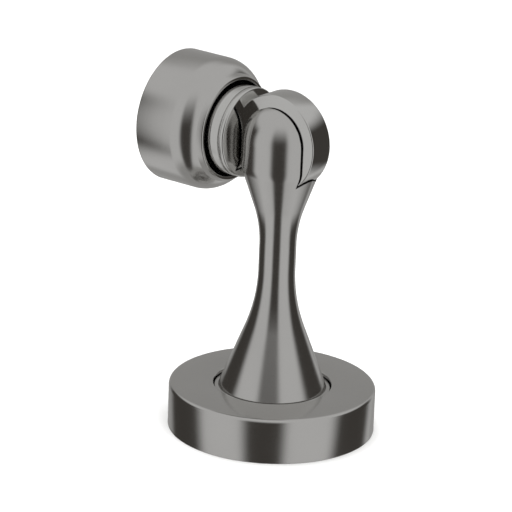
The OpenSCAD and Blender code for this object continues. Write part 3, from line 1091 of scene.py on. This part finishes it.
class DOORHOLDER_OT_strike_spring(HolderOperator, Operator):
    """Wind the coned spring behind the strike plate, as one fixed coil hung on the cup"""

    bl_idname = "door_holder.strike_spring"
    bl_label = "Strike Spring"

    def execute(self, context):
        wire = sizes().spring_wire / 2
        start, end = -high("strike_spring").x, -low("strike_spring").x
        small, large, turns, steps = 3.3 * MM, 7.1 * MM, 2.75, 132
        curve = bpy.data.curves.new("spring_wire", "CURVE")
        curve.dimensions = "3D"
        curve.bevel_depth = wire
        curve.bevel_resolution = 3
        curve.use_fill_caps = True
        coil = curve.splines.new("POLY")
        coil.points.add(steps)
        for step, point in enumerate(coil.points):
            along = step / steps
            turn = math.tau * turns * along
            radius = small + (large - small) * along
            height = wire + (end - start - 2 * wire) * along
            point.co = (radius * math.cos(turn), radius * math.sin(turn), height, 1.0)
        wound = bpy.data.objects.new("spring_wire", curve)
        context.scene.collection.objects.link(wound)
        context.view_layer.update()
        mesh = bpy.data.meshes.new_from_object(wound.evaluated_get(context.evaluated_depsgraph_get()))
        bpy.data.objects.remove(wound)
        mesh.transform(toward_door(start))
        piece = bpy.data.objects.new("strike_spring_piece", mesh)
        context.scene.collection.objects.link(piece)
        finish_piece(
            piece, "cup", ["strike_spring"], finish_named("bright_head"), smooth_angle=60.0,
        )
        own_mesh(piece)
        return {"FINISHED"}


# ---------------------------------------------------------------- stage

def surround_nodes(world, turn):
    """A white surround with darker flags on it, placed by bearing from the camera and by rise."""
    world.use_nodes = True
    nodes, links = world.node_tree.nodes, world.node_tree.links
    nodes.clear()

    def maths(operation, *values):
        node = nodes.new("ShaderNodeMath")
        node.operation = operation
        for socket, value in zip(node.inputs, values):
            if isinstance(value, (int, float)):
                socket.default_value = value
            else:
                links.new(value, socket)
        return node.outputs[0]

    def above(value, edge, softness):
        """0 below an edge and 1 above it, with a soft change between."""
        node = nodes.new("ShaderNodeMapRange")
        node.interpolation_type = "SMOOTHSTEP"
        links.new(value, node.inputs["Value"])
        node.inputs["From Min"].default_value = edge - softness
        node.inputs["From Max"].default_value = edge + softness
        return node.outputs["Result"]

    def between(value, span, low_softness, high_softness):
        start, end = span
        return maths("SUBTRACT", above(value, start, low_softness), above(value, end, high_softness))

    direction = nodes.new("ShaderNodeTexCoord").outputs["Generated"]
    turned_to_camera = nodes.new("ShaderNodeMapping")
    turned_to_camera.inputs["Rotation"].default_value = (0.0, 0.0, -turn)
    links.new(direction, turned_to_camera.inputs["Vector"])
    parts = nodes.new("ShaderNodeSeparateXYZ")
    links.new(turned_to_camera.outputs["Vector"], parts.inputs["Vector"])
    x, y, z = parts.outputs
    bearing = maths("DEGREES", maths("ARCTAN2", x, maths("MULTIPLY", y, -1.0)))
    rise = maths("DEGREES", maths("ARCSINE", z))

    white = studio().surround
    colour = nodes.new("ShaderNodeRGB")
    colour.outputs[0].default_value = (white, white, white * 0.995, 1.0)
    shade = colour.outputs[0]
    for flag in SURROUND_FLAGS:
        mask = maths(
            "MULTIPLY",
            between(bearing, flag["bearing"], flag["side"], flag["side"]),
            between(rise, flag["rise"], flag["foot"], flag["head"]),
        )
        mix = nodes.new("ShaderNodeMix")
        mix.data_type = "RGBA"
        links.new(mask, mix.inputs["Factor"])
        links.new(shade, mix.inputs[6])
        mix.inputs[7].default_value = (*flag["colour"], 1.0)
        shade = mix.outputs[2]

    sight = nodes.new("ShaderNodeLightPath")
    backdrop = nodes.new("ShaderNodeMix")
    backdrop.data_type = "RGBA"
    links.new(sight.outputs["Is Camera Ray"], backdrop.inputs["Factor"])
    links.new(shade, backdrop.inputs[6])
    backdrop.inputs[7].default_value = (0.93, 0.93, 0.93, 1.0)
    background = nodes.new("ShaderNodeBackground")
    links.new(backdrop.outputs[2], background.inputs["Color"])
    output = nodes.new("ShaderNodeOutputWorld")
    links.new(background.outputs["Background"], output.inputs["Surface"])


BLACK_FLAG = (0.060, 0.055, 0.050)
GREY_FLAG = (0.36, 0.357, 0.35)
# A white tent with three broad black flags, grey below and behind.
# Bearings are from the camera, positive to its right, and rises are above the horizon, in degrees.
# Each flag fades over its side, foot and head distances.
SURROUND_FLAGS = (
    {"bearing": (-200, 200), "side": 1, "rise": (-100, -60), "foot": 1, "head": 10, "colour": GREY_FLAG},
    {"bearing": (-200, -145), "side": 10, "rise": (-100, 45), "foot": 1, "head": 15, "colour": GREY_FLAG},
    {"bearing": (145, 200), "side": 10, "rise": (-100, 45), "foot": 1, "head": 15, "colour": GREY_FLAG},
    {"bearing": (-145, -85), "side": 10, "rise": (-40, 25), "foot": 10, "head": 10, "colour": BLACK_FLAG},
    {"bearing": (75, 135), "side": 10, "rise": (-40, 25), "foot": 10, "head": 10, "colour": BLACK_FLAG},
    {"bearing": (-30, 15), "side": 8, "rise": (-75, 30), "foot": 10, "head": 30, "colour": BLACK_FLAG},
)


class DOORHOLDER_OT_stage(HolderOperator, Operator):
    """Set the pale floor, the soft lights, the white surround and the camera"""

    bl_idname = "door_holder.stage"
    bl_label = "Stage"

    def execute(self, context):
        setting = studio()
        self.lay_floor(context)
        self.hang_softbox(context, "overhead_softbox", (-0.10, 0.02, 0.85), 0.9, setting.key_power)
        self.hang_softbox(context, "side_softbox", (0.75, -0.35, 0.55), 0.6, 0.35 * setting.key_power)
        world = bpy.data.worlds.new("white_surround")
        context.scene.world = world
        surround_nodes(world, setting.camera_turn)
        self.place_camera(context)
        context.scene.view_settings.view_transform = "Standard"
        return {"FINISHED"}

    def lay_floor(self, context):
        shape = bmesh.new()
        bmesh.ops.create_grid(shape, x_segments=1, y_segments=1, size=4.0)
        floor = loose_object("studio_floor", shape, UPRIGHT)
        finish = Finish("pale_floor", (0.90, 0.90, 0.895), 0.8, 0.0)
        finish.set_normal(finish.bump(finish.noise(finish.coords, 700.0), 0.02 * MM, strength=0.2))
        floor.data.materials.append(finish.material)
        floor.visible_glossy = False
        floor.visible_shadow = False

    def hang_softbox(self, context, name, place, width, power):
        light = bpy.data.lights.new(name, "AREA")
        light.shape = "DISK"
        light.size = width
        light.energy = power
        lamp = bpy.data.objects.new(name, light)
        context.scene.collection.objects.link(lamp)
        lamp.location = place
        lamp.rotation_mode = "QUATERNION"
        lamp.rotation_quaternion = (Vector(place) - Vector((0.0, 0.0, 0.04))).to_track_quat("Z", "Y")
        lamp.visible_glossy = False

    def place_camera(self, context):
        setting = studio()
        turn, rise = setting.camera_turn, setting.camera_rise
        back = Vector((math.sin(turn) * math.cos(rise), -math.cos(turn) * math.cos(rise), math.sin(rise)))
        right = Vector((math.cos(turn), math.sin(turn), 0.0))
        aim = Vector((0.0, 0.0, setting.aim_height)) - right * setting.aim_left
        lens = bpy.data.cameras.new("studio_camera")
        lens.lens = setting.focal_length
        lens.sensor_width = 36.0
        lens.clip_start, lens.clip_end = 0.01, 20.0
        camera = bpy.data.objects.new("studio_camera", lens)
        context.scene.collection.objects.link(camera)
        camera.location = aim + back * setting.camera_distance
        level = back.to_track_quat("Z", "Y").to_matrix()
        camera.rotation_euler = (level @ Matrix.Rotation(setting.camera_roll, 3, "Z")).to_euler()
        context.scene.camera = camera


# ---------------------------------------------------------------- panel and run

PIECE_OPERATORS = (
    DOORHOLDER_OT_base_ring,
    DOORHOLDER_OT_floor_plate,
    DOORHOLDER_OT_stem,
    DOORHOLDER_OT_stem_fasteners,
    DOORHOLDER_OT_magnet_head,
    DOORHOLDER_OT_tilt_bearing,
    DOORHOLDER_OT_magnet_stack,
    DOORHOLDER_OT_door_cup,
    DOORHOLDER_OT_door_plate,
    DOORHOLDER_OT_set_screws,
    DOORHOLDER_OT_strike,
    DOORHOLDER_OT_strike_spring,
)


class DOORHOLDER_PT_panel(Panel):
    """The door holder's sizes, finishes and makers"""

    bl_idname = "DOORHOLDER_PT_panel"
    bl_label = "Door Holder"
    bl_space_type = "VIEW_3D"
    bl_region_type = "UI"
    bl_category = "Door Holder"

    def draw(self, context):
        layout = self.layout
        for operator in (*PIECE_OPERATORS, DOORHOLDER_OT_stage):
            layout.operator(operator.bl_idname)
        for title, group in (("Sizes", sizes()), ("Finishes", finishes()), ("Studio", studio())):
            box = layout.box()
            box.label(text=title)
            for key in group.__annotations__:
                box.prop(group, key)


CLASSES = (
    DoorHolderSizes, DoorHolderFinishes, DoorHolderStudio,
    *PIECE_OPERATORS, DOORHOLDER_OT_stage, DOORHOLDER_PT_panel,
)


def register():
    for kind in CLASSES:
        bpy.utils.register_class(kind)
    bpy.types.Scene.door_holder_sizes = PointerProperty(type=DoorHolderSizes)
    bpy.types.Scene.door_holder_finishes = PointerProperty(type=DoorHolderFinishes)
    bpy.types.Scene.door_holder_studio = PointerProperty(type=DoorHolderStudio)


def unregister():
    del bpy.types.Scene.door_holder_studio
    del bpy.types.Scene.door_holder_finishes
    del bpy.types.Scene.door_holder_sizes
    for kind in reversed(CLASSES):
        bpy.utils.unregister_class(kind)


def main():
    register()
    for operator in (*PIECE_OPERATORS, DOORHOLDER_OT_stage):
        group, name = operator.bl_idname.split(".")
        getattr(getattr(bpy.ops, group), name)()


if __name__ == "__main__":
    main()
